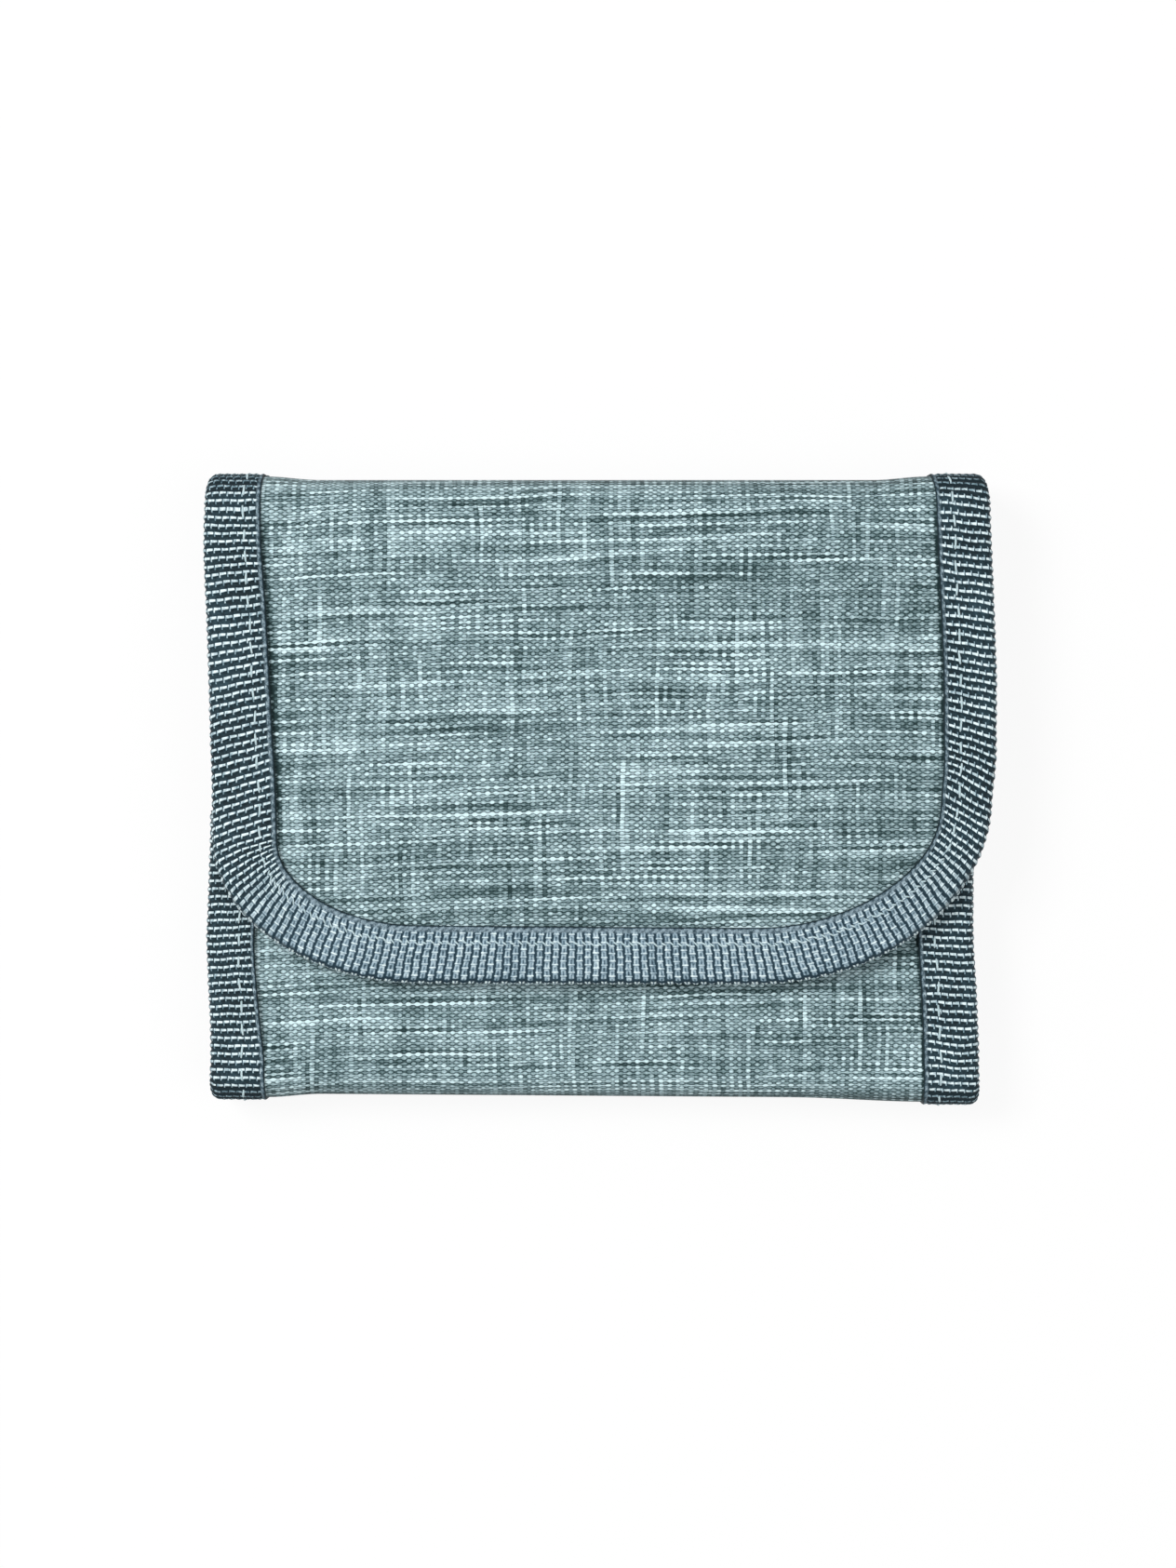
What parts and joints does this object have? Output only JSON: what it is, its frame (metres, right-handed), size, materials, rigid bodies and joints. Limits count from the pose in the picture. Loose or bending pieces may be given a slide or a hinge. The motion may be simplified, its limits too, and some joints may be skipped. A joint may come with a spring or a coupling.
{
  "type": "bifold wallet",
  "caption": "Cloth flap wallet folded at top and bottom, ribbed tape edges, rounded flap, note pocket, zipped coin pocket and card pockets inside.",
  "frame": {"origin": "under the middle of the closed wallet, on the table it lies on", "axes": "+X along the folds, to the right with the flap facing up; +Y towards the top fold; +Z out of the flap"},
  "size_m": [0.13, 0.105, 0.0178],
  "materials": {
    "outer_cloth": "heathered plain weave, matt",
    "binding_tape": "ribbed tape with a soft sheen",
    "lining": "plain lining cloth, matt",
    "padding": "stiff felt, matt",
    "zip_tape": "woven tape, matt",
    "zip_teeth": "satin",
    "zip_metal": "dark nickel, satin",
    "hook_and_loop": "hook and loop pile, matt",
    "clear_window": "clear film, glossy"
  },
  "bodies": {
    "back_panel": {"back_cloth": "outer_cloth", "back_padding": "padding", "back_lining": "lining", "back_binding_left": "binding_tape", "back_binding_right": "binding_tape", "note_pocket_panel": "lining", "note_pocket_gusset_left": "lining", "note_pocket_gusset_right": "lining", "note_pocket_foot_gusset": "lining", "note_pocket_hem": "binding_tape", "coin_pocket_upper_wall": "lining", "coin_pocket_lower_wall": "lining", "zip_tape_upper": "zip_tape", "zip_tape_lower": "zip_tape", "zip_teeth_upper": "zip_teeth", "zip_teeth_lower": "zip_teeth", "zip_stop_closed_end": "zip_metal", "zip_stop_open_end": "zip_metal", "card_pocket_rear": "lining", "card_pocket_middle": "lining", "id_window": "clear_window", "id_window_frame": "binding_tape"},
    "top_fold": {"top_fold_cloth": "outer_cloth", "top_fold_lining": "lining", "top_fold_binding_left": "binding_tape", "top_fold_binding_right": "binding_tape"},
    "flap": {"flap_cloth": "outer_cloth", "flap_padding": "padding", "flap_lining": "lining", "flap_binding": "binding_tape", "hook_strip": "hook_and_loop"},
    "bottom_fold": {"bottom_fold_cloth": "outer_cloth", "bottom_fold_lining": "lining", "bottom_fold_binding_left": "binding_tape", "bottom_fold_binding_right": "binding_tape"},
    "front_panel": {"front_cloth": "outer_cloth", "front_padding": "padding", "front_lining": "lining", "front_binding_left": "binding_tape", "front_binding_right": "binding_tape", "loop_strip": "hook_and_loop"},
    "slider": {"zip_slider": "zip_metal"},
    "pull": {"zip_pull": "zip_metal"}
  },
  "joints": [
    {"name": "top_fold_turn", "type": "hinge", "parent": "back_panel", "child": "top_fold", "pos_m": [0, 0.05002, 0.00248], "axis": [-1, 0, 0], "range_deg": [0, 90]},
    {"name": "flap_turn", "type": "hinge", "parent": "top_fold", "child": "flap", "pos_m": [0, 0.05002, 0.01532], "axis": [-1, 0, 0], "range_deg": [0, 90]},
    {"name": "bottom_fold_turn", "type": "hinge", "parent": "back_panel", "child": "bottom_fold", "pos_m": [0, -0.05035, 0.00215], "axis": [1, 0, 0], "range_deg": [0, 90]},
    {"name": "front_panel_turn", "type": "hinge", "parent": "bottom_fold", "child": "front_panel", "pos_m": [0, -0.05035, 0.01115], "axis": [1, 0, 0], "range_deg": [0, 90]},
    {"name": "zip_run", "type": "slide", "parent": "back_panel", "child": "slider", "axis": [-1, 0, 0], "range_m": [0, 0.0812]},
    {"name": "pull_swing", "type": "hinge", "parent": "slider", "child": "pull", "pos_m": [0.0406, 0.0335, 0.0115], "axis": [0, 0, 1], "range_deg": [-40, 40]}
  ],
  "couplings": [
    {"joint": "flap_turn", "follows": "top_fold_turn", "ratio": 1},
    {"joint": "bottom_fold_turn", "follows": "top_fold_turn", "ratio": 1},
    {"joint": "front_panel_turn", "follows": "top_fold_turn", "ratio": 1}
  ]
}
